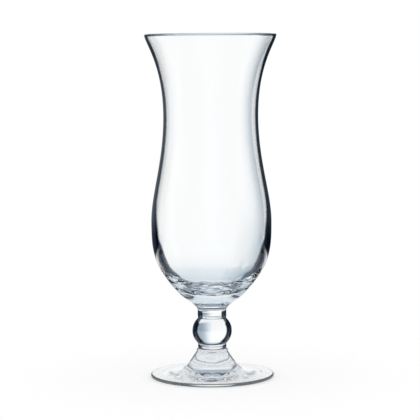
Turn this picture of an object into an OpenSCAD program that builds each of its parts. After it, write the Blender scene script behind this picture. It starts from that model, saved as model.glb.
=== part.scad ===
// Hurricane glass: a tall blown bowl with a flared rim, a narrow waist and a low round belly, on a
// short pressed ball stem and a round pressed foot. The three pieces are fused glass to glass on
// two flat seams. Millimetres, +Z up. The origin is the middle of the face that stands on the table.

/* [Foot] */
// Height of the foot, from the table to the seam under the stem
foot_h = 17.4; // [15:0.1:22]
// Diameter of the foot's disc
foot_d = 74.4; // [66:0.2:84]
// Thickness of the disc at its rounded edge
edge_t = 2.2; // [1.6:0.1:3]
// Height of the disc's top where the pedestal rises from it
disc_rise = 5.8; // [4.5:0.1:8]
// Outer diameter of the flat ring that rests on the table
rest_outer_d = 69; // [62:0.2:72]
// Inner diameter of the flat ring that rests on the table
rest_inner_d = 60; // [50:0.2:61]
// Depth of the shallow hollow inside that ring
hollow_depth = 1.8; // [1:0.1:3]
// Diameter of the pedestal's cone where it meets the disc
pedestal_d = 32; // [26:0.2:38]
// Radius of the curve between the pedestal and the disc
pedestal_fillet = 2.6; // [1:0.1:4]
// Diameter of the ring on top of the pedestal
ring_d = 18.8; // [17.5:0.1:22]
// Height of that ring, its rounded top included
ring_h = 1.9; // [1.2:0.1:3]
// Diameter of the seam between the foot and the stem
foot_seam_d = 15.4; // [13:0.1:16.5]

/* [Stem] */
// Diameter of the ball
ball_d = 23.9; // [21:0.1:28]
// Height that the whole ball would have, were it not cut by the seam and the collar
ball_h = 21.8; // [19:0.1:25]
// Diameter of the collar under the ball
collar_d = 17.2; // [16.8:0.1:19]
// Height of the collar, up to where the ball would start
collar_h = 3; // [2.4:0.1:5]
// Height over which the collar rounds in to its seam
collar_round = 1; // [0.5:0.1:1.4]
// Reach of the small fillet between the collar and the ball
ball_fillet = 0.7; // [0.3:0.1:1]
// Diameter of the seam between the stem and the bowl
bowl_seam_d = 16.4; // [14:0.1:17]

/* [Bowl outline] */
// Height of the bowl, from its seam to the rim
bowl_h = 170.4; // [160:0.2:182]
// Outer diameter at the rim
rim_d = 78.8; // [72:0.2:88]
// Outer diameter at the waist, the narrowest place
waist_d = 56.8; // [50:0.2:62]
// Height of the waist above the bowl's seam
waist_h = 121.8; // [112:0.2:130]
// Outer diameter at the belly, the widest place below the waist
belly_d = 72.2; // [66:0.2:80]
// Height of the belly above the bowl's seam
belly_h = 58.4; // [52:0.2:66]
// Outer diameter where the underside has become a straight slope
underside_d = 38; // [32:0.2:44]
// Height of that place above the bowl's seam
underside_h = 14.1; // [12.5:0.1:18]
// Angle of that slope from the upright
underside_angle = 43; // [36:1:48]
// Diameter of the short neck under the bowl
neck_d = 17.4; // [17.1:0.1:19.5]
// Height of the neck above the bowl's seam, up to where the underside spreads out
neck_h = 4.8; // [3.6:0.1:6]
// Height over which the neck rounds in to its seam
neck_round = 0.8; // [0.4:0.1:1.4]

/* [Bowl wall] */
// Thickness of the fire-rounded lip
lip_t = 1.8; // [1.2:0.1:2.4]
// Thickness of the wall at the waist
waist_wall = 2; // [1.4:0.1:2.8]
// Thickness of the wall at the belly
belly_wall = 2.2; // [1.6:0.1:3]
// Height of the lowest point inside the bowl above the bowl's seam
cavity_h = 17.2; // [15.5:0.1:24]

/* [Hidden] */
// Straight steps along one curve of an outline
steps = 16;
small_steps = 6;
// How far each curve's handle reaches, as a share of the height between the curve's two ends
lip_share = 0.11;
waist_up_share = 0.625;
waist_down_share = 0.436;
belly_up_share = 0.269;
belly_down_share = 0.407;
underside_up_share = 0.394;
underside_down_share = 0.2;
neck_up_share = 0.29;
// The lip leans out by this share of its curve's handle
lip_lean_share = 0.15;
// Handles of the curve that closes the cavity, down from the belly and out from the axis
cavity_down_share = 0.5;
cavity_out_share = 0.86;
glass_tint = [0.86, 0.91, 0.93, 0.45];
stem_tint = [0.8, 0.87, 0.9, 0.6];
foot_tint = [0.84, 0.89, 0.92, 0.55];

// Heights from the ball's middle to where its side has the collar's and the seam's diameters
function ball_reach(d) = ball_h / 2 * sqrt(1 - pow(d / ball_d, 2));
ball_mid = collar_h + ball_reach(collar_d);
stem_h = ball_mid + ball_reach(bowl_seam_d);
lip_r = lip_t / 2;
rim_r = rim_d / 2;
waist_r = waist_d / 2;
belly_r = belly_d / 2;
lip_z = bowl_h - lip_r;

// Points of a cubic curve after its first one, from a to d with handles b and c
function curve(a, b, c, d, n = steps) = [
    for (i = [1:n]) let (t = i / n, u = 1 - t)
        u * u * u * a + 3 * u * u * t * b + 3 * u * t * t * c + t * t * t * d
];
// Points of a rounded corner after its first one, from a to c round the sharp corner b
function corner(a, b, c, n = small_steps) = [
    for (i = [1:n]) let (t = i / n, u = 1 - t) u * u * a + 2 * u * t * b + t * t * c
];
// The place at distance reach from the point a towards the point b
function towards(a, b, reach) = a + (b - a) * reach / norm(b - a);

// A side of the bowl from the lip to the waist and on to the belly, in by the walls given
function side(lip_in, waist_in, belly_in) = let (
    flare = lip_z - waist_h,
    taper = waist_h - belly_h,
    lip = [rim_r - lip_in, lip_z],
    waist = [waist_r - waist_in, waist_h],
    belly = [belly_r - belly_in, belly_h]
) concat(
    [lip],
    curve(lip, lip - flare * lip_share * [lip_lean_share, 1], waist + [0, flare * waist_up_share], waist),
    curve(waist, waist - [0, taper * waist_down_share], belly + [0, taper * belly_up_share], belly)
);
// The bowl's underside, from the belly down to the seam on the stem
function underside() = let (
    slope = [tan(underside_angle), 1],
    sweep = belly_h - underside_h,
    blend = underside_h - neck_h,
    belly = [belly_r, belly_h],
    spread = [underside_d / 2, underside_h],
    neck = [neck_d / 2, neck_h],
    seam = [bowl_seam_d / 2, 0]
) concat(
    curve(belly, belly - [0, sweep * belly_down_share], spread + sweep * underside_up_share * slope, spread),
    curve(spread, spread - blend * underside_down_share * slope, neck + [0, blend * neck_up_share], neck),
    [[neck.x, neck_round]],
    corner([neck.x, neck_round], [neck.x, 0], seam)
);
// The inside of the bowl below the belly, closed at the lowest point on the axis
function cavity_floor() = let (
    belly = [belly_r - belly_wall, belly_h],
    low = [0, cavity_h],
    depth = belly_h - cavity_h
) curve(belly, belly - [0, depth * cavity_down_share], low + [belly.x * cavity_out_share, 0], low);
// The lip's half round, from its inner side over the top to its outer side
function lip_round() = [
    for (i = [1:small_steps * 2 - 1]) let (turn = 180 - 90 * i / small_steps)
        [rim_r - lip_r, lip_z] + lip_r * [cos(turn), sin(turn)]
];
function reversed(list) = [for (i = [len(list) - 1:-1:0]) list[i]];

module bowl() {
    inside = concat(side(lip_t, waist_wall, belly_wall), cavity_floor());
    outside = concat(side(0, 0, 0), underside());
    color(glass_tint) translate([0, 0, foot_h + stem_h]) rotate_extrude($fn = 96)
        polygon(concat(reversed(inside), lip_round(), outside, [[0, 0]]));
}

module ball_stem() {
    collar_r = collar_d / 2;
    // A point on the ball's side at a height above its middle
    function on_ball(up) = [ball_d / 2 * sqrt(1 - pow(up / ball_h * 2, 2)), ball_mid + up];
    low = ball_fillet - ball_reach(collar_d);
    high = ball_reach(bowl_seam_d);
    low_turn = asin(low / ball_h * 2);
    high_turn = asin(high / ball_h * 2);
    ball_side = [
        for (i = [1:2 * steps]) let (turn = low_turn + (high_turn - low_turn) * i / steps / 2)
            on_ball(ball_h / 2 * sin(turn))
    ];
    outline = concat(
        [[0, 0], [foot_seam_d / 2, 0]],
        corner([foot_seam_d / 2, 0], [collar_r, 0], [collar_r, collar_round]),
        [[collar_r, collar_h - ball_fillet]],
        corner([collar_r, collar_h - ball_fillet], [collar_r, collar_h], on_ball(low)),
        ball_side,
        [[0, stem_h]]
    );
    color(stem_tint) translate([0, 0, foot_h]) rotate_extrude($fn = 96) polygon(outline);
}

module foot() {
    disc_r = foot_d / 2;
    rest_r = rest_outer_d / 2;
    hollow_r = rest_inner_d / 2;
    ring_r = ring_d / 2;
    ring_z = foot_h - ring_h;
    shoulder = [disc_r - edge_t / 2, edge_t];
    base = [pedestal_d / 2, disc_rise];
    ring_low = [ring_r, ring_z];
    fillet_top = towards(base, ring_low, pedestal_fillet);
    fillet_out = towards(base, shoulder, pedestal_fillet);
    outline = concat(
        [[0, hollow_depth]],
        curve([0, hollow_depth], [hollow_r / 2, hollow_depth], [hollow_r * 3 / 4, 0], [hollow_r, 0]),
        [[rest_r, 0]],
        corner([rest_r, 0], [disc_r, 0], [disc_r, edge_t / 2]),
        corner([disc_r, edge_t / 2], [disc_r, edge_t], shoulder),
        [fillet_out],
        corner(fillet_out, base, fillet_top),
        [ring_low, [ring_r, foot_h - ring_h / 2]],
        corner([ring_r, foot_h - ring_h / 2], [ring_r, foot_h], [foot_seam_d / 2, foot_h]),
        [[0, foot_h]]
    );
    color(foot_tint) rotate_extrude($fn = 96) polygon(outline);
}

bowl();
ball_stem();
foot();
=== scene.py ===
"""A clear hurricane glass: blown bowl, pressed ball stem and pressed foot, in metres, +Z up."""

import math

import bmesh
import bpy
from bpy.props import FloatProperty, FloatVectorProperty, IntProperty, PointerProperty
from mathutils import Euler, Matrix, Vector


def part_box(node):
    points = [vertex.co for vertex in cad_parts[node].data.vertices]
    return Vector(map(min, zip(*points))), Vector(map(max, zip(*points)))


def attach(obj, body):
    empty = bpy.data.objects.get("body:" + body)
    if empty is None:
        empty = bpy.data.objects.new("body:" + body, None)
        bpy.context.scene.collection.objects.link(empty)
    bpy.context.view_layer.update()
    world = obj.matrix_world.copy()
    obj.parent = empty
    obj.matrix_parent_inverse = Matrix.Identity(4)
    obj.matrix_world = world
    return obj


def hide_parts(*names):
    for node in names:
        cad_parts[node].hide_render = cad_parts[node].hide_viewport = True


bl_info = {
    "name": "Hurricane Glass",
    "version": (1, 0, 0),
    "blender": (4, 5, 0),
    "location": "View3D > Sidebar > Glass",
    "description": "Builds a stemmed hurricane glass and the white studio it stands in",
    "category": "Add Mesh",
}

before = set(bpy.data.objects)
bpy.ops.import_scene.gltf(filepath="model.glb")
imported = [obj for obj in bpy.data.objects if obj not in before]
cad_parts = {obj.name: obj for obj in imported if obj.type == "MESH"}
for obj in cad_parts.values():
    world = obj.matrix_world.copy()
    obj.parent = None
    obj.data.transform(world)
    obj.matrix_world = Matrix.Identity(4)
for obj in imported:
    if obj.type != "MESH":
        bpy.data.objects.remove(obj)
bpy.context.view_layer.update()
BOWL_LOW, BOWL_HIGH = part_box("bowl")
STEM_LOW, STEM_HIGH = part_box("ball_stem")
FOOT_LOW, FOOT_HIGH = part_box("foot")
MM = 0.001
QUARTER_TURN = math.pi / 2

# How far each curve's handle reaches, as a share of the height between the curve's two ends
LIP_SHARE = 0.11
WAIST_UP_SHARE = 0.625
WAIST_DOWN_SHARE = 0.436
BELLY_UP_SHARE = 0.269
BELLY_DOWN_SHARE = 0.407
UNDERSIDE_UP_SHARE = 0.394
UNDERSIDE_DOWN_SHARE = 0.2
NECK_UP_SHARE = 0.29
# The lip leans out by this share of its curve's handle
LIP_LEAN_SHARE = 0.15
# Handles of the curve that closes the cavity, down from the belly and out from the axis
CAVITY_DOWN_SHARE = 0.5
CAVITY_OUT_SHARE = 0.86
# Angle of the bowl's underside from the upright
UNDERSIDE_ANGLE = math.radians(43.0)
# Straight steps round the lip and up the ball
LIP_STEPS = 16
BALL_STEPS = 48

# How strongly the glass bends light
GLASS_IOR = 1.5
# How much of the ripples thin glass keeps
LEAST_RIPPLE = 0.03
# How far the tint shifts towards white
TINT_SHIFT = 0.008
# Starts of the painted edge shade: past one it never comes, and below the small one it is there from all
# sides
NEVER_DARK = 1.05
ALWAYS_DARK = 0.1
# A ray has crossed the hollow bowl's two walls, and not only a solid piece, after so many surfaces
BOWL_SURFACES = 4

# Greys that the studio's cards and shades are made of, beside those that a user can change
WHITE = (1.0, 1.0, 1.0)
PALE = (0.8, 0.86, 0.9)
GREY = (0.37, 0.44, 0.51)
DIM = (0.25, 0.29, 0.35)
DARK = (0.08, 0.1, 0.13)
BLACK = (0.0, 0.0, 0.0)
# How bright the table top looks beside a backdrop of one
TABLE_LEVEL = 1.02
# Distances from the glass's axis where the table's shades and cards start, and where they are whole
TABLE_SHADES_FROM = 55 * MM
TABLE_SHADES_WHOLE = 75 * MM


def length(name, description, default):
    """A size in metres that a user can change."""
    return FloatProperty(
        name=name, description=description, default=default, unit="LENGTH", min=0.0, precision=5
    )


def share(name, description, default):
    """A plain share that a user can change."""
    return FloatProperty(
        name=name, description=description, default=default, subtype="FACTOR", min=0.0, max=1.0
    )


def colour(name, description, default):
    """A linear colour that a user can change."""
    return FloatVectorProperty(
        name=name, description=description, default=default, subtype="COLOR", size=3, min=0.0, max=1.0
    )


class BowlShape(bpy.types.PropertyGroup):
    """Sizes of the blown bowl, heights counted from its seam on the stem."""

    rim_radius: length("Rim radius", "Outer radius at the lip", BOWL_HIGH[0])
    lip: length("Lip thickness", "Thickness of the fire-rounded lip", 1.8 * MM)
    waist_radius: length("Waist radius", "Outer radius at the narrowest place", 28.4 * MM)
    waist_height: length("Waist height", "Height of the waist above the seam", 121.8 * MM)
    waist_wall: length("Waist wall", "Thickness of the wall at the waist", 2.0 * MM)
    belly_radius: length("Belly radius", "Outer radius at the belly", 36.1 * MM)
    belly_height: length("Belly height", "Height of the belly above the seam", 58.4 * MM)
    belly_wall: length("Belly wall", "Thickness of the wall at the belly", 2.2 * MM)
    cavity_height: length("Cavity height", "Height of the lowest point inside above the seam", 17.2 * MM)
    spread_radius: length("Spread radius", "Radius where the underside is a straight slope", 19.0 * MM)
    spread_height: length("Spread height", "Height of that place above the seam", 14.1 * MM)
    neck_radius: length("Neck radius", "Radius of the short neck under the bowl", 8.7 * MM)
    neck_height: length("Neck height", "Height of the neck above the seam", 4.8 * MM)
    neck_round: length("Neck rounding", "Height over which the neck rounds in to the seam", 0.8 * MM)
    seam_radius: length("Seam radius", "Radius of the fused seam under the bowl", 8.2 * MM)


class StemShape(bpy.types.PropertyGroup):
    """Sizes of the pressed ball stem, heights counted from its seam on the foot."""

    ball_radius: length("Ball radius", "Radius of the ball across", STEM_HIGH[0])
    ball_half_height: length("Ball half height", "Half the height of the whole ball", 10.9 * MM)
    collar_radius: length("Collar radius", "Radius of the collar under the ball", 8.6 * MM)
    collar_height: length("Collar height", "Height of the collar", 3.0 * MM)
    collar_round: length("Collar rounding", "Height over which the collar rounds in to its seam", 1.0 * MM)
    ball_fillet: length("Ball fillet", "Reach of the fillet between the collar and the ball", 0.7 * MM)
    seam_radius: length("Seam radius", "Radius of the fused seam on the foot", 7.7 * MM)


class FootShape(bpy.types.PropertyGroup):
    """Sizes of the pressed foot, heights counted from the table."""

    radius: length("Foot radius", "Radius of the disc", FOOT_HIGH[0])
    edge: length("Edge thickness", "Thickness of the disc at its rounded edge", 2.2 * MM)
    rise: length("Disc rise", "Height of the disc's top at the pedestal", 5.8 * MM)
    rest_outer: length("Rest ring outside", "Outer radius of the flat ring on the table", 34.5 * MM)
    rest_inner: length("Rest ring inside", "Inner radius of that ring", 30.0 * MM)
    hollow: length("Hollow depth", "Depth of the shallow hollow inside the ring", 1.8 * MM)
    pedestal_radius: length("Pedestal radius", "Radius of the cone where it meets the disc", 16.0 * MM)
    pedestal_fillet: length("Pedestal fillet", "Reach of the curve between cone and disc", 2.6 * MM)
    ring_radius: length("Ring radius", "Radius of the ring on top of the pedestal", 9.4 * MM)
    ring_height: length("Ring height", "Height of that ring", 1.9 * MM)


class GlassLook(bpy.types.PropertyGroup):
    """How the clear glass looks."""

    tint: colour("Tint", "Colour that the glass gives to light passing through", (0.985, 0.996, 1.0))
    # Painted shade: dark colour laid into the glass where it is seen edge on, for clear glass's dark edges
    outline: colour("Outline", "Colour of the glass where it is seen edge on", (0.004, 0.011, 0.022))
    # Painted shade: dark colour laid into the foot where it is seen edge on, and all round its rounded edge
    foot_painted_edge_colour: colour("Foot outline", "Colour of the foot where it is seen edge on", (0.03, 0.036, 0.042))
    # Deeper tint of thick glass, and on the lip a painted grey shade
    thick: colour("Thick glass", "Colour of the glass where it is thick", (0.72, 0.8, 0.86))
    # Painted shade: dark colour laid into thick glass where it is seen edge on
    thick_painted_edge_colour: colour("Thick outline", "Colour of thick glass seen edge on", (0.12, 0.2, 0.28))
    inner_gloss: colour("Inner gloss", "Strength of reflections inside the glass", (0.14, 0.17, 0.2))
    gloss: colour("Gloss", "Strength of reflections off the outside, white for bare glass", (0.14, 0.17, 0.2))
    haze: share("Haze", "Roughness of the fire-polished surface", 0.0)
    # How softly the painted edge shade fades in
    edge_blend: share("Edge blend", "How softly the glass darkens where it is seen edge on", 0.08)
    ripple: length("Ripple", "Depth of the faint ripples left by the mould and the flame", 0.5 * MM)
    sides: IntProperty(name="Sides", description="Faces round each piece", default=192, min=24)


class StudioLook(bpy.types.PropertyGroup):
    """The white studio and its camera."""

    floor_radius: length("Floor radius", "Radius of the white table top", 0.26)
    floor_white: share("Floor white", "How much light the table top sends back", 0.55)
    camera_distance: length("Camera distance", "From the camera to the glass's axis", 1.137)
    camera_height: length("Camera height", "Height of the camera above the table", 0.2179)
    aim_height: length("Aim height", "Height on the glass that the camera looks at", 0.101)
    aim_aside: FloatProperty(
        name="Aim aside",
        description="Sideways offset of the camera",
        default=-0.8 * MM,
        unit="LENGTH",
        precision=5,
    )
    camera_lens: FloatProperty(name="Lens", description="Focal length in millimetres", default=163.4, min=1.0)
    camera_roll: FloatProperty(
        name="Roll", description="How far the camera is tipped", default=math.radians(-0.38), subtype="ANGLE"
    )
    shade: colour("Shade", "Colour of the grey-blue shades beside the windows", (0.5, 0.575, 0.645))
    card: colour("Dark card", "Colour of the darkest cards between the windows", (0.006, 0.009, 0.014))
    table_card: colour("Table card", "Colour of the cards that lie on the table", (0.07, 0.09, 0.12))
    ceiling: colour("Ceiling", "Colour of the studio high above the glass", (0.24, 0.31, 0.39))
    inner_share: share("Inner share", "How much of a card shows in light that bounces inside the glass", 0.75)


def reached(height, radius, half_height):
    """Radius of a squashed ball at a height above its middle."""
    return radius * math.sqrt(max(0.0, 1.0 - (height / half_height) ** 2))


def depth_at(radius, ball_radius, half_height):
    """Height above a squashed ball's middle where it has that radius."""
    return half_height * math.sqrt(max(0.0, 1.0 - (radius / ball_radius) ** 2))


def curve(a, b, c, d, steps=40):
    """Points of a cubic curve after its first one, from a to d with handles b and c."""
    points = []
    for i in range(1, steps + 1):
        t = i / steps
        u = 1.0 - t
        points.append(u**3 * a + 3 * u * u * t * b + 3 * u * t * t * c + t**3 * d)
    return points


def corner(a, b, c, steps=8):
    """Points of a rounded corner after its first one, from a to c round the sharp corner b."""
    points = []
    for i in range(1, steps + 1):
        t = i / steps
        u = 1.0 - t
        points.append(u * u * a + 2 * u * t * b + t * t * c)
    return points


def straight(a, b, steps):
    """Points of a straight line after its first one."""
    return [a.lerp(b, i / steps) for i in range(1, steps + 1)]


def up(height):
    """A step straight up in an outline, or its point on the axis at that height."""
    return Vector((0.0, height))


def towards(a, b, reach):
    """The place at a distance from a towards b."""
    return a + (b - a).normalized() * reach


def smooth(value, low, high):
    """Nought at low, one at high and a soft step between."""
    t = min(1.0, max(0.0, (value - low) / (high - low)))
    return t * t * (3 - 2 * t)


def band(value, low, low_full, high_full, high):
    """One between the two full values, falling softly to nought at low and at high."""
    return smooth(value, low, low_full) * (1 - smooth(value, high_full, high))


def bowl_side(shape, lip_z, lip_in, waist_in, belly_in):
    """A side of the bowl from the lip past the waist to the belly, in by the walls given."""
    lip = Vector((shape.rim_radius - lip_in, lip_z))
    waist = Vector((shape.waist_radius - waist_in, shape.waist_height))
    belly = Vector((shape.belly_radius - belly_in, shape.belly_height))
    flare = lip.y - waist.y
    taper = waist.y - belly.y
    lean = Vector((LIP_LEAN_SHARE, 1.0))
    points = [lip]
    points += curve(lip, lip - flare * LIP_SHARE * lean, waist + up(flare * WAIST_UP_SHARE), waist)
    points += curve(waist, waist - up(taper * WAIST_DOWN_SHARE), belly + up(taper * BELLY_UP_SHARE), belly)
    return points


def bowl_underside(shape, belly):
    """The outside of the bowl from the belly down to the seam on the stem."""
    slope = Vector((math.tan(UNDERSIDE_ANGLE), 1.0))
    spread = Vector((shape.spread_radius, shape.spread_height))
    neck = Vector((shape.neck_radius, shape.neck_height))
    neck_low = Vector((shape.neck_radius, shape.neck_round))
    seam = Vector((shape.seam_radius, 0.0))
    sweep = belly.y - spread.y
    blend = spread.y - neck.y
    spread_in = spread + sweep * UNDERSIDE_UP_SHARE * slope
    spread_out = spread - blend * UNDERSIDE_DOWN_SHARE * slope
    points = curve(belly, belly - up(sweep * BELLY_DOWN_SHARE), spread_in, spread)
    points += curve(spread, spread_out, neck + up(blend * NECK_UP_SHARE), neck, steps=14)
    points += straight(neck, neck_low, steps=5)
    points += corner(neck_low, Vector((neck.x, 0.0)), seam)
    return points


def bowl_profile(shape, height):
    """The bowl's outline from the middle of its seam up the outside and down the inside to the axis."""
    lip_radius = shape.lip / 2
    lip_z = height - lip_radius
    outside = bowl_side(shape, lip_z, 0.0, 0.0, 0.0)
    outside += bowl_underside(shape, outside[-1])
    lip_middle = Vector((shape.rim_radius - lip_radius, lip_z))
    lip = []
    for i in range(1, LIP_STEPS):
        turn = math.pi * i / LIP_STEPS
        lip.append(lip_middle + lip_radius * Vector((math.cos(turn), math.sin(turn))))
    inside = bowl_side(shape, lip_z, shape.lip, shape.waist_wall, shape.belly_wall)
    belly = inside[-1]
    low = up(shape.cavity_height)
    belly_low = belly - up((belly.y - low.y) * CAVITY_DOWN_SHARE)
    low_out = low + Vector((belly.x * CAVITY_OUT_SHARE, 0.0))
    inside += curve(belly, belly_low, low_out, low, steps=48)
    seam_face = straight(up(0.0), Vector((shape.seam_radius, 0.0)), steps=6)
    return [up(0.0)] + seam_face + outside[::-1][1:] + lip + inside


def stem_profile(shape, height, top_radius):
    """The stem's outline from the middle of its lower seam to the middle of its upper one."""
    ball_radius, half_height = shape.ball_radius, shape.ball_half_height
    drop = depth_at(shape.collar_radius, ball_radius, half_height)
    middle = shape.collar_height + drop
    low = shape.ball_fillet - drop
    seam = Vector((shape.seam_radius, 0.0))
    collar_low = Vector((shape.collar_radius, shape.collar_round))
    collar_high = Vector((shape.collar_radius, shape.collar_height - shape.ball_fillet))
    ball_low = Vector((reached(low, ball_radius, half_height), middle + low))
    points = [up(0.0)]
    points += straight(up(0.0), seam, steps=6)
    points += corner(seam, Vector((collar_low.x, 0.0)), collar_low)
    points += straight(collar_low, collar_high, steps=4)
    points += corner(collar_high, Vector((collar_high.x, shape.collar_height)), ball_low)
    low_turn = math.asin(low / half_height)
    high_turn = math.asin((height - middle) / half_height)
    for i in range(1, BALL_STEPS):
        turn = low_turn + (high_turn - low_turn) * i / BALL_STEPS
        points.append(Vector((ball_radius * math.cos(turn), middle + half_height * math.sin(turn))))
    ball_top = Vector((top_radius, height))
    points.append(ball_top)
    points += straight(ball_top, up(height), steps=6)
    return points


def foot_profile(shape, height, top_radius):
    """The foot's outline from the middle of its underside to the middle of its seam."""
    start = up(shape.hollow)
    hollow_out = Vector((shape.rest_inner / 2, shape.hollow))
    hollow_low = Vector((shape.rest_inner * 0.75, 0.0))
    rest_inner = Vector((shape.rest_inner, 0.0))
    rest_outer = Vector((shape.rest_outer, 0.0))
    edge = Vector((shape.radius, shape.edge / 2))
    shoulder = Vector((shape.radius - shape.edge / 2, shape.edge))
    base = Vector((shape.pedestal_radius, shape.rise))
    ring_low = Vector((shape.ring_radius, height - shape.ring_height))
    ring_high = Vector((shape.ring_radius, height - shape.ring_height / 2))
    fillet_top = towards(base, ring_low, shape.pedestal_fillet)
    fillet_out = towards(base, shoulder, shape.pedestal_fillet)
    seam = Vector((top_radius, height))
    points = [start]
    points += curve(start, hollow_out, hollow_low, rest_inner)
    points += straight(rest_inner, rest_outer, steps=4)
    points += corner(rest_outer, Vector((shape.radius, 0.0)), edge)
    points += corner(edge, Vector((shape.radius, shape.edge)), shoulder)
    points += straight(shoulder, fillet_out, steps=20)
    points += corner(fillet_out, base, fillet_top, steps=12)
    points += straight(fillet_top, ring_low, steps=10)
    points += straight(ring_low, ring_high, steps=3)
    points += corner(ring_high, Vector((shape.ring_radius, height)), seam)
    points += straight(seam, up(height), steps=6)
    return points


def lathe(name, profile, base_z, sides, painted_shades_and_tints):
    """A closed mesh made by turning an outline of (radius, height) points round +Z.

    For each point of the outline, painted_shades_and_tints holds how edge on the surface is seen where
    its painted edge shade starts, and how deep its tint and painted grey shade are, from nought to one.
    """
    bm = bmesh.new()
    rings = []
    last = len(profile) - 1
    for i, point in enumerate(profile):
        if i in (0, last):
            rings.append([bm.verts.new((0.0, 0.0, base_z + point.y))])
            continue
        ring = []
        for k in range(sides):
            angle = 2 * math.pi * k / sides
            x, y = point.x * math.cos(angle), point.x * math.sin(angle)
            ring.append(bm.verts.new((x, y, base_z + point.y)))
        rings.append(ring)
    for low, high in zip(rings, rings[1:]):
        for k in range(sides):
            n = (k + 1) % sides
            if len(low) == 1:
                face = bm.faces.new((low[0], high[n], high[k]))
            elif len(high) == 1:
                face = bm.faces.new((low[k], low[n], high[0]))
            else:
                face = bm.faces.new((low[k], low[n], high[n], high[k]))
            face.smooth = True
    bm.normal_update()
    mesh = bpy.data.meshes.new(name)
    bm.to_mesh(mesh)
    bm.free()
    for key, numbers in zip(("painted_edge_start", "thick_tint_and_lip_shade"), zip(*painted_shades_and_tints)):
        values = []
        for ring, number in zip(rings, numbers):
            values += [number] * len(ring)
        mesh.attributes.new(key, "FLOAT", "POINT").data.foreach_set("value", values)
    piece = bpy.data.objects.new(name, mesh)
    bpy.context.scene.collection.objects.link(piece)
    return piece


def mark_seam(piece, z):
    """Gives the flat fused face at height z its own slot and a sharp edge round it."""
    mesh = piece.data
    near = 1e-7
    flat = set()
    for face in mesh.polygons:
        if all(abs(mesh.vertices[v].co.z - z) < near for v in face.vertices):
            face.material_index = 1
            face.use_smooth = False
            flat.add(face.index)
    edge_faces = {}
    for face in mesh.polygons:
        for key in face.edge_keys:
            edge_faces.setdefault(key, []).append(face.index)
    for edge in mesh.edges:
        around = edge_faces[tuple(sorted(edge.vertices))]
        if len([f for f in around if f in flat]) == 1:
            edge.use_edge_sharp = True


def node(tree, kind, place, **values):
    """A shader node with its settings and its inputs set by name."""
    made = tree.nodes.new(kind)
    made.location = place
    for key, value in values.items():
        if hasattr(made, key):
            setattr(made, key, value)
        else:
            made.inputs[key.replace("_", " ")].default_value = value
    return made


def plug(tree, socket, value):
    """Joins an input to another node's socket, or sets it to a plain number or colour."""
    if isinstance(value, bpy.types.NodeSocket):
        tree.links.new(value, socket)
    elif isinstance(value, float):
        socket.default_value = value
    else:
        socket.default_value = (*value, 1.0)


def mixed(tree, place, amount, first, second):
    """A mix of two colours, each a socket or a plain colour."""
    mix = node(tree, "ShaderNodeMix", place, data_type="RGBA")
    plug(tree, mix.inputs[0], amount)
    plug(tree, mix.inputs[6], first)
    plug(tree, mix.inputs[7], second)
    return mix.outputs[2]


def sum_of(tree, place, operation, *values):
    """The result of one piece of arithmetic on sockets or plain numbers."""
    made = node(tree, "ShaderNodeMath", place, operation=operation)
    for socket, value in zip(made.inputs, values):
        plug(tree, socket, value)
    return made.outputs[0]


def at_least(tree, place, count, times):
    """One where a count of a ray's steps has come to that many, and nought below."""
    return sum_of(tree, place, "GREATER_THAN", count, times - 0.5)


def soft_step(tree, place, value, low, high):
    """Nought where the value is at low, one where it is at high and a soft step between."""
    step = node(tree, "ShaderNodeMapRange", place, interpolation_type="SMOOTHSTEP")
    plug(tree, step.inputs["Value"], value)
    plug(tree, step.inputs["From Min"], low)
    plug(tree, step.inputs["From Max"], high)
    return step.outputs[0]


def between(tree, place, value, low, high, soft_low, soft_high):
    """One where the value lies between low and high, falling softly to nought outside."""
    rise = soft_step(tree, place, value, low - soft_low, low)
    fall = soft_step(tree, (place[0], place[1] - 250), value, high + soft_high, high)
    return sum_of(tree, (place[0] + 200, place[1]), "MULTIPLY", rise, fall)


def across_quarter(tree, place, direction):
    """Where a direction lies across its quarter turn, from nought to one with a half on the axis."""
    x, y = place
    turn = sum_of(tree, (x, y), "ARCTAN2", direction.outputs["Y"], direction.outputs["X"])
    quarters = sum_of(tree, (x + 150, y), "DIVIDE", turn, QUARTER_TURN)
    shifted = sum_of(tree, (x + 300, y), "ADD", quarters, 2.5)
    return sum_of(tree, (x + 450, y), "FRACT", shifted)


def studio_ramp(tree, place, across, stops):
    """Colours across a quarter turn of the studio, by degrees off the nearest window's middle."""
    ramp = node(tree, "ShaderNodeValToRGB", place)
    elements = ramp.color_ramp.elements
    elements.remove(elements[0])
    for i, (degrees, there) in enumerate(stops):
        stop = elements[0] if i == 0 else elements.new(1.0)
        stop.position = 0.5 + degrees / 90.0
        stop.color = (*there, 1.0)
    plug(tree, ramp.inputs["Fac"], across)
    return ramp.outputs["Color"]


def bare_material(name):
    """A new material without any node."""
    material = bpy.data.materials.new(name)
    material.use_nodes = True
    material.node_tree.nodes.clear()
    return material


def glass_tint(tree, look, place, depth):
    """The colour of light that passes through: it shifts a little, is deeper in thick glass, and painted grey
    on the lip.
    """
    drift = node(tree, "ShaderNodeTexNoise", (-600, 200), Scale=18.0, Detail=2.0)
    plug(tree, drift.inputs["Vector"], place)
    ramp = node(tree, "ShaderNodeValToRGB", (-300, 200))
    low, high = ramp.color_ramp.elements
    low.position = 0.3
    low.color = (*look.tint, 1.0)
    high.position = 0.7
    high.color = (*[min(1.0, c + TINT_SHIFT) for c in look.tint], 1.0)
    plug(tree, ramp.inputs["Fac"], drift.outputs["Fac"])
    return mixed(tree, (-150, 200), depth, ramp.outputs["Color"], look.thick)


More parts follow.
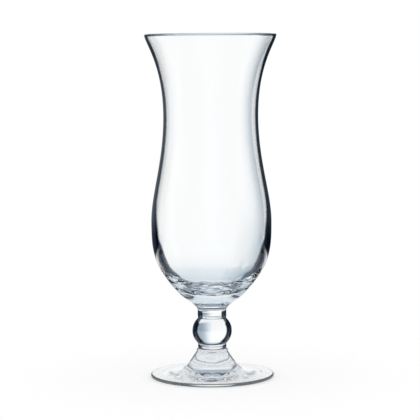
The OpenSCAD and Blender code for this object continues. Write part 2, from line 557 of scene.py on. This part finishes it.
def seen_edge_on(tree, inner_side, facing, start):
    """How edge on the surface is seen or, from inside the glass, how edge on the light goes out."""
    upright = sum_of(tree, (-1700, 900), "SUBTRACT", 1.0, facing)
    squared = sum_of(tree, (-1550, 900), "MULTIPLY", upright, upright)
    across = sum_of(tree, (-1400, 900), "SUBTRACT", 1.0, squared)
    bent = sum_of(tree, (-1250, 900), "MULTIPLY", across, GLASS_IOR**2)
    left = sum_of(tree, (-1100, 900), "SUBTRACT", 1.0, bent)
    leaves = sum_of(tree, (-1100, 1050), "GREATER_THAN", left, 0.0)
    kept = sum_of(tree, (-950, 900), "MAXIMUM", left, 0.0)
    straight_out = sum_of(tree, (-950, 1050), "POWER", kept, 0.5)
    outside = sum_of(tree, (-800, 900), "SUBTRACT", 1.0, straight_out)
    not_all_dark = sum_of(tree, (-800, 1200), "GREATER_THAN", start, ALWAYS_DARK)
    from_inside = sum_of(tree, (-650, 1050), "MULTIPLY", outside, leaves)
    from_inside = sum_of(tree, (-650, 900), "MULTIPLY", from_inside, not_all_dark)
    seen = node(tree, "ShaderNodeMix", (-500, 900))
    plug(tree, seen.inputs[0], inner_side)
    plug(tree, seen.inputs[2], facing)
    plug(tree, seen.inputs[3], from_inside)
    return seen.outputs[0]


def glass_ripples(tree, look, place, depth):
    """The faint ripples of the surface, fainter where the glass is thin."""
    waves = node(tree, "ShaderNodeTexNoise", (-600, -200), Scale=120.0, Detail=1.0)
    plug(tree, waves.inputs["Vector"], place)
    kept = sum_of(tree, (-400, -350), "MULTIPLY_ADD", depth, 1.0 - LEAST_RIPPLE, LEAST_RIPPLE)
    height = sum_of(tree, (-200, -200), "MULTIPLY", waves.outputs["Fac"], kept)
    bump = node(tree, "ShaderNodeBump", (0, -200), Strength=1.0, Distance=look.ripple)
    plug(tree, bump.inputs["Height"], height)
    return bump.outputs["Normal"]


def glass_material(name, look, painted_edge_colour):
    """Clear glass: faint ripples, a tint that shifts a little, and painted shade where it is seen edge on."""
    material = bare_material(name)
    tree = material.node_tree
    place = node(tree, "ShaderNodeTexCoord", (-900, 0)).outputs["Object"]
    # How deep the tint is: thick glass, and painted grey shade on the lip
    depth = node(tree, "ShaderNodeAttribute", (-900, 1100), attribute_name="thick_tint_and_lip_shade").outputs["Fac"]
    start = node(tree, "ShaderNodeAttribute", (-900, 700), attribute_name="painted_edge_start").outputs["Fac"]
    facing = node(tree, "ShaderNodeLayerWeight", (-1900, 500), Blend=0.5).outputs["Facing"]
    inner_side = node(tree, "ShaderNodeNewGeometry", (-700, 1300)).outputs["Backfacing"]

    full = sum_of(tree, (-700, 650), "ADD", start, look.edge_blend)
    edge = soft_step(tree, (-300, 500), seen_edge_on(tree, inner_side, facing, start), start, full)
    # Painted shade: the colour that the glass takes where it is seen edge on
    dark = mixed(tree, (-150, 500), depth, painted_edge_colour, look.thick_painted_edge_colour)
    clear = glass_tint(tree, look, place, depth)
    shine = mixed(tree, (-200, 800), inner_side, look.gloss, look.inner_gloss)

    glass = node(tree, "ShaderNodeBsdfPrincipled", (300, 0), IOR=GLASS_IOR, Roughness=look.haze)
    glass.inputs["Transmission Weight"].default_value = 1.0
    # The painted edge shade darkens the glass's colour and its reflections
    plug(tree, glass.inputs["Base Color"], mixed(tree, (0, 300), edge, clear, dark))
    plug(tree, glass.inputs["Specular Tint"], mixed(tree, (0, 600), edge, shine, dark))
    plug(tree, glass.inputs["Normal"], glass_ripples(tree, look, place, depth))
    out = node(tree, "ShaderNodeOutputMaterial", (600, 0))
    plug(tree, out.inputs["Surface"], glass.outputs["BSDF"])
    return material


def seam_material():
    """The inside of a fused joint: glass on both sides, so light goes straight through."""
    material = bpy.data.materials.get("fused seam")
    if material:
        return material
    material = bpy.data.materials.new("fused seam")
    material.use_nodes = True
    material.node_tree.nodes["Principled BSDF"].inputs["Alpha"].default_value = 0.0
    return material


def dress(piece, cad_node, slot, look, painted_edge_colour, seam_heights):
    """Puts a piece on its body, in its CAD node's place, with its glass and its seam faces."""
    piece.data.materials.append(glass_material(slot.replace("_", " "), look, painted_edge_colour))
    piece.data.materials.append(seam_material())
    for z in seam_heights:
        mark_seam(piece, z)
    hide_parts(cad_node)
    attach(piece, "root")


def outside_painted_shade_and_tint(y, on_lip):
    """The bowl's outside at a height: where its painted edge shade starts, and how deep its tint is."""
    # How much earlier the painted edge shade starts on the neck, the thick base, the belly and up the wall
    neck = 0.75 * (1 - smooth(y, 4 * MM, 5.5 * MM))
    base = 0.2 * band(y, 12 * MM, 18 * MM, 24 * MM, 31 * MM)
    belly = 0.09 * (1 - smooth(y, 50 * MM, 75 * MM))
    wall = 0.45 * smooth(y, 30 * MM, 48 * MM) - 0.05 * smooth(y, 125 * MM, 155 * MM)
    # On the lip the edge shade starts much earlier, a painted grey line
    start = NEVER_DARK - neck - belly - wall - base - 0.5 * on_lip
    # Deeper tint where the base is thick, and on the lip as painted grey shade
    thick = band(y, 6 * MM, 12 * MM, 20 * MM, 36 * MM) + 0.7 * on_lip
    return start, thick


def inside_painted_shade_and_tint(y, on_lip):
    """The bowl's inside at a height: where its painted edge shade starts, and how deep its tint is."""
    # Painted shade: the inside darkens edge on low in the bowl, and the lip is painted grey
    start = NEVER_DARK - 0.51 * band(y, 19 * MM, 31 * MM, 38 * MM, 66 * MM) - 0.75 * on_lip
    thick = 0.3 * (1 - smooth(y, 22 * MM, 30 * MM)) + 0.7 * on_lip
    return start, thick


def stem_painted_shade_and_tint(y, middle):
    """The stem at a height: its painted edge shade starts later towards the top and bottom of the ball."""
    on_ball = smooth(y, 2.2 * MM, 2.6 * MM)
    return 0.28 + 0.5 * on_ball * smooth(abs(y - middle), 4.5 * MM, 9 * MM), 0.0


def foot_painted_shade_and_tint(shape, point, ring_z):
    """The foot at a point of its outline: where its painted edge shade starts, and how deep its tint is."""
    # Painted shade: the cone darkens earlier edge on, and the rounded edge is dark from all sides; the
    # pedestal's tint and ripples deepen
    on_cone = smooth(point.y, shape.rise + 2.5 * MM, shape.rise + 4.5 * MM)
    on_edge = smooth(point.x, shape.radius - 1.1 * MM, shape.radius - 0.7 * MM)
    rippled = band(point.y, shape.rise - 0.8 * MM, shape.rise + 1 * MM, ring_z - 0.2 * MM, ring_z + 0.2 * MM)
    return NEVER_DARK - 0.45 * on_cone - 1.04 * on_edge, 0.1 * (1 - on_edge) + 0.5 * rippled


class GLASS_OT_bowl(bpy.types.Operator):
    """Builds the blown bowl with its lip, waist, belly and thick base"""

    bl_idname = "hurricane_glass.bowl"
    bl_label = "Bowl"

    def execute(self, context):
        look = context.scene.glass_look
        seam_z = BOWL_LOW[2]
        profile = bowl_profile(context.scene.bowl_shape, BOWL_HIGH[2] - seam_z)
        rim = max(point.y for point in profile)
        painted_shade_and_tint = outside_painted_shade_and_tint
        painted_shades_and_tints = []
        for point in profile:
            on_lip = smooth(point.y, rim - 1.1 * MM, rim - 0.5 * MM)
            painted_shades_and_tints.append(painted_shade_and_tint(point.y, on_lip))
            if point.y == rim:
                painted_shade_and_tint = inside_painted_shade_and_tint
        piece = lathe("blown_bowl", profile, seam_z, look.sides, painted_shades_and_tints)
        dress(piece, "bowl", "bowl_glass", look, look.outline, [seam_z])
        return {"FINISHED"}


class GLASS_OT_stem(bpy.types.Operator):
    """Builds the pressed ball stem with its collar"""

    bl_idname = "hurricane_glass.stem"
    bl_label = "Ball stem"

    def execute(self, context):
        look = context.scene.glass_look
        low, high = STEM_LOW[2], STEM_HIGH[2]
        profile = stem_profile(context.scene.stem_shape, high - low, context.scene.bowl_shape.seam_radius)
        middle = max(profile, key=lambda point: point.x).y
        painted_shades_and_tints = [stem_painted_shade_and_tint(point.y, middle) for point in profile]
        piece = lathe("pressed_ball_stem", profile, low, look.sides, painted_shades_and_tints)
        dress(piece, "ball_stem", "stem_glass", look, look.outline, [low, high])
        return {"FINISHED"}


class GLASS_OT_foot(bpy.types.Operator):
    """Builds the pressed foot with its pedestal, ring and rest ring"""

    bl_idname = "hurricane_glass.foot"
    bl_label = "Foot"

    def execute(self, context):
        shape = context.scene.foot_shape
        look = context.scene.glass_look
        low, high = FOOT_LOW[2], FOOT_HIGH[2]
        profile = foot_profile(shape, high - low, context.scene.stem_shape.seam_radius)
        ring_z = high - low - shape.ring_height
        painted_shades_and_tints = [foot_painted_shade_and_tint(shape, point, ring_z) for point in profile]
        piece = lathe("pressed_foot", profile, low, look.sides, painted_shades_and_tints)
        dress(piece, "foot", "foot_glass", look, look.foot_painted_edge_colour, [high])
        return {"FINISHED"}


def table_tone(tree, studio, across, surfaces, bounced, away):
    """White, but for the grey-blue shades on the table that light bent by the glass meets."""
    entered = at_least(tree, (-800, 450), surfaces, 1)
    crossed = at_least(tree, (-800, 600), surfaces, BOWL_SURFACES)
    shaded = studio_ramp(
        tree, (-500, 600), across, [(-19, WHITE), (-16, studio.shade), (-13, studio.shade), (-3, WHITE)]
    )
    solid_shades = [
        (-38, WHITE),
        (-33, (0.28, 0.335, 0.405)),
        (-22, (0.3, 0.355, 0.43)),
        (-15.5, (0.39, 0.45, 0.52)),
        (-10, (0.55, 0.62, 0.7)),
        (-5, (0.77, 0.84, 0.91)),
        (1, WHITE),
    ]
    solid = studio_ramp(tree, (-500, 900), across, solid_shades)
    bent = sum_of(tree, (-650, 450), "GREATER_THAN", entered, bounced)
    bent_away = sum_of(tree, (-350, 450), "MULTIPLY", bent, away)
    behind = mixed(tree, (-350, 600), crossed, solid, shaded)
    return mixed(tree, (-200, 450), bent_away, WHITE, behind)


def table_material(studio):
    """A white table top that looks as white as the backdrop and keeps the glass's shadow.

    Outside the foot's edge, light that the glass has bent meets grey-blue shades on it, and light
    that bounces off the glass meets dark cards.
    """
    material = bare_material("white table")
    tree = material.node_tree
    rays = node(tree, "ShaderNodeLightPath", (-1000, -100))
    place = node(tree, "ShaderNodeTexCoord", (-1600, 300)).outputs["Object"]
    direction = node(tree, "ShaderNodeSeparateXYZ", (-1400, 300))
    plug(tree, direction.inputs[0], place)
    across = across_quarter(tree, (-1200, 300), direction)
    far = node(tree, "ShaderNodeVectorMath", (-1000, 100), operation="LENGTH")
    plug(tree, far.inputs[0], place)
    away = soft_step(tree, (-800, 100), far.outputs["Value"], TABLE_SHADES_FROM, TABLE_SHADES_WHOLE)

    bounced = at_least(tree, (-800, -200), rays.outputs["Glossy Depth"], 1)
    cards = studio_ramp(tree, (-500, 300), across, [(-32, WHITE), (-20, BLACK), (20, BLACK), (32, WHITE)])
    laid = sum_of(tree, (-350, 200), "MULTIPLY", cards, away)
    dark = sum_of(tree, (-200, 200), "MULTIPLY", bounced, laid)
    tone = table_tone(tree, studio, across, rays.outputs["Transmission Depth"], bounced, away)
    top = node(tree, "ShaderNodeVectorMath", (-50, 350), operation="SCALE", Scale=studio.floor_white)
    plug(tree, top.inputs[0], tone)
    paint = node(tree, "ShaderNodeBsdfDiffuse", (200, 100))
    plug(tree, paint.inputs["Color"], mixed(tree, (0, 200), dark, top.outputs[0], studio.table_card))

    not_card = sum_of(tree, (-200, 0), "SUBTRACT", 1.0, dark)
    seen = sum_of(tree, (-200, -100), "SUBTRACT", 1.0, rays.outputs["Is Diffuse Ray"])
    lifted = sum_of(tree, (-50, 0), "MULTIPLY", not_card, seen)
    amount = sum_of(tree, (-50, -100), "MULTIPLY", lifted, TABLE_LEVEL - studio.floor_white)
    lift = node(tree, "ShaderNodeEmission", (200, -100))
    plug(tree, lift.inputs["Color"], tone)
    plug(tree, lift.inputs["Strength"], amount)

    both = node(tree, "ShaderNodeAddShader", (400, 0))
    plug(tree, both.inputs[0], paint.outputs[0])
    plug(tree, both.inputs[1], lift.outputs[0])
    out = node(tree, "ShaderNodeOutputMaterial", (600, 0))
    plug(tree, out.inputs["Surface"], both.outputs[0])
    return material


def through_bowl(tree, studio, across, near_level, slanted):
    """What light meets once it has crossed the hollow bowl: white, with a shade beside each window."""
    shade = studio.shade
    level = studio_ramp(tree, (-500, 400), across, [(-13, WHITE), (-11, shade), (-9.8, shade), (-3.5, WHITE)])
    return mixed(tree, (0, 300), near_level, slanted, level)


def off_bowl(tree, studio, across, near_level):
    """What light meets that bounced off the glass or in the bowl: windows with dark cards between."""
    card = studio.card
    level = studio_ramp(tree, (-500, -100), across, [(-12, DARK), (-8, WHITE), (8, WHITE), (12, DIM)])
    slanted = studio_ramp(tree, (-500, -2500), across, [(-12, card), (-8, WHITE), (8, WHITE), (12, DARK)])
    return mixed(tree, (0, -100), near_level, slanted, level)


def through_solid(tree, studio, across, height):
    """What light meets once a solid piece has bent it: shades above the table's level."""
    stops = [(-38, WHITE), (-33, GREY), (-24, GREY), (-15.5, studio.shade), (-8.5, PALE), (-2, WHITE)]
    shades = studio_ramp(tree, (-500, -2000), across, stops)
    above_table = between(tree, (-500, -2300), height, -0.11, 1.1, 0.03, 0.1)
    return mixed(tree, (0, -2000), above_table, WHITE, shades)


def off_solid(tree, studio, across):
    """What light meets once it has bounced inside a solid piece: a wide window between cards."""
    card = studio.card
    left_stops = [(-44, card), (-38, DIM), (-32, PALE), (-20, PALE), (-10, WHITE)]
    right_stops = [(30, WHITE), (38, card), (45, card)]
    return studio_ramp(tree, (-500, -1700), across, left_stops + right_stops)


def met_share(tree, studio, rays, entered, bounced):
    """How much of its shades and cards the studio shows a ray: none before it has met the glass."""
    lit = sum_of(tree, (-250, 1050), "LESS_THAN", rays.outputs["Diffuse Depth"], 0.5)
    inside = sum_of(tree, (-50, 850), "MULTIPLY", bounced, entered)
    loss = sum_of(tree, (100, 850), "MULTIPLY", inside, 1.0 - studio.inner_share)
    kept = sum_of(tree, (250, 850), "SUBTRACT", 1.0, loss)
    met = sum_of(tree, (100, 1050), "MAXIMUM", bounced, entered)
    amount = sum_of(tree, (400, 950), "MULTIPLY", met, kept)
    return sum_of(tree, (550, 950), "MULTIPLY", amount, lit)


def studio_world(studio):
    """White light all round, with shades and cards round four windows that only the glass shows.

    Light that the glass has bent meets grey-blue shades beside the windows, and light that bounces
    off it or inside it meets dark cards between them. Heights are those of a ray's direction, from
    minus one straight down to one straight up.
    """
    world = bpy.data.worlds.new("white studio")
    bpy.context.scene.world = world
    world.use_nodes = True
    tree = world.node_tree
    tree.nodes.clear()
    shade, card = studio.shade, studio.card

    place = node(tree, "ShaderNodeTexCoord", (-1600, 0))
    direction = node(tree, "ShaderNodeSeparateXYZ", (-1400, 0))
    plug(tree, direction.inputs[0], place.outputs["Generated"])
    across = across_quarter(tree, (-1200, 100), direction)
    height = direction.outputs["Z"]
    near_level = between(tree, (-500, -400), height, -0.08, 0.02, 0.06, 0.06)
    at_ceiling = between(tree, (-500, -900), height, 0.5, 1.1, 0.2, 0.1)
    at_table = between(tree, (-500, -1400), height, -1.1, -0.24, 0.1, 0.06)

    rays = node(tree, "ShaderNodeLightPath", (-500, 900))
    bounced = at_least(tree, (-250, 900), rays.outputs["Glossy Depth"], 1)
    entered = at_least(tree, (-250, 750), rays.outputs["Transmission Depth"], 1)
    crossed = at_least(tree, (-250, 600), rays.outputs["Transmission Depth"], BOWL_SURFACES)
    in_solid = sum_of(tree, (0, 600), "SUBTRACT", entered, crossed)

    slanted_stops = [(-13, WHITE), (-11, shade), (-9.2, shade), (-1.8, WHITE)]
    slanted = studio_ramp(tree, (-500, 150), across, slanted_stops)
    low_stops = [(-30, card), (-12, WHITE), (12, WHITE), (30, card)]
    low_off = studio_ramp(tree, (-500, -2800), across, low_stops)
    through = through_bowl(tree, studio, across, near_level, slanted)
    bowl = mixed(tree, (150, 200), bounced, through, off_bowl(tree, studio, across, near_level))
    bent = through_solid(tree, studio, across, height)
    solid = mixed(tree, (150, -1800), bounced, bent, off_solid(tree, studio, across))
    low = mixed(tree, (400, -150), bounced, slanted, low_off)
    seen = mixed(tree, (250, 150), in_solid, bowl, solid)
    seen = mixed(tree, (400, 100), at_ceiling, seen, studio.ceiling)
    seen = mixed(tree, (550, 0), at_table, seen, low)
    amount = met_share(tree, studio, rays, entered, bounced)
    light = node(tree, "ShaderNodeBackground", (950, 0))
    plug(tree, light.inputs["Color"], mixed(tree, (750, 0), amount, WHITE, seen))
    out = node(tree, "ShaderNodeOutputWorld", (1150, 0))
    plug(tree, out.inputs["Surface"], light.outputs[0])


def table_top(studio):
    """The round table top, which belongs to the studio."""
    bm = bmesh.new()
    bmesh.ops.create_circle(bm, cap_ends=True, radius=studio.floor_radius, segments=128)
    mesh = bpy.data.meshes.new("table_top")
    bm.to_mesh(mesh)
    bm.free()
    mesh.materials.append(table_material(studio))
    table = bpy.data.objects.new("table_top", mesh)
    bpy.context.scene.collection.objects.link(table)


def studio_camera(studio):
    """The camera, in front of the glass and a little above its rim, looking down at its middle."""
    data = bpy.data.cameras.new("camera")
    data.lens = studio.camera_lens
    data.sensor_width = 36.0
    data.clip_start = 0.05
    data.clip_end = 20.0
    camera = bpy.data.objects.new("camera", data)
    bpy.context.scene.collection.objects.link(camera)
    camera.location = (studio.aim_aside, -studio.camera_distance, studio.camera_height)
    drop = math.atan2(studio.camera_height - studio.aim_height, studio.camera_distance)
    tilt = Euler((QUARTER_TURN - drop, 0.0, 0.0)).to_matrix()
    roll = Euler((0.0, 0.0, studio.camera_roll)).to_matrix()
    camera.rotation_euler = (tilt @ roll).to_euler()
    bpy.context.scene.camera = camera


class GLASS_OT_studio(bpy.types.Operator):
    """Sets the white table, the light and the camera"""

    bl_idname = "hurricane_glass.studio"
    bl_label = "Studio"

    def execute(self, context):
        studio = context.scene.studio_look
        table_top(studio)
        studio_world(studio)
        studio_camera(studio)
        context.scene.view_settings.view_transform = "Standard"
        context.scene.cycles.max_bounces = 32
        context.scene.cycles.transmission_bounces = 32
        context.scene.cycles.glossy_bounces = 16
        context.scene.cycles.transparent_max_bounces = 32
        return {"FINISHED"}


class GLASS_PT_panel(bpy.types.Panel):
    """Lists what builds the glass and its sizes."""

    bl_idname = "GLASS_PT_panel"
    bl_label = "Hurricane Glass"
    bl_space_type = "VIEW_3D"
    bl_region_type = "UI"
    bl_category = "Glass"

    def draw(self, context):
        for group in GROUPS:
            box = self.layout.box()
            for key in GROUPS[group].__annotations__:
                box.prop(getattr(context.scene, group), key)
        for operator in OPERATORS:
            self.layout.operator(operator.bl_idname)


GROUPS = {
    "bowl_shape": BowlShape,
    "stem_shape": StemShape,
    "foot_shape": FootShape,
    "glass_look": GlassLook,
    "studio_look": StudioLook,
}
OPERATORS = [GLASS_OT_studio, GLASS_OT_bowl, GLASS_OT_stem, GLASS_OT_foot]


def register():
    for group, kind in GROUPS.items():
        bpy.utils.register_class(kind)
        setattr(bpy.types.Scene, group, PointerProperty(type=kind))
    for kind in (*OPERATORS, GLASS_PT_panel):
        bpy.utils.register_class(kind)


def unregister():
    for kind in (GLASS_PT_panel, *reversed(OPERATORS)):
        bpy.utils.unregister_class(kind)
    for group, kind in GROUPS.items():
        delattr(bpy.types.Scene, group)
        bpy.utils.unregister_class(kind)


def main():
    register()
    bpy.ops.hurricane_glass.studio()
    bpy.ops.hurricane_glass.bowl()
    bpy.ops.hurricane_glass.stem()
    bpy.ops.hurricane_glass.foot()
    bpy.context.view_layer.update()


if __name__ == "__main__":
    main()
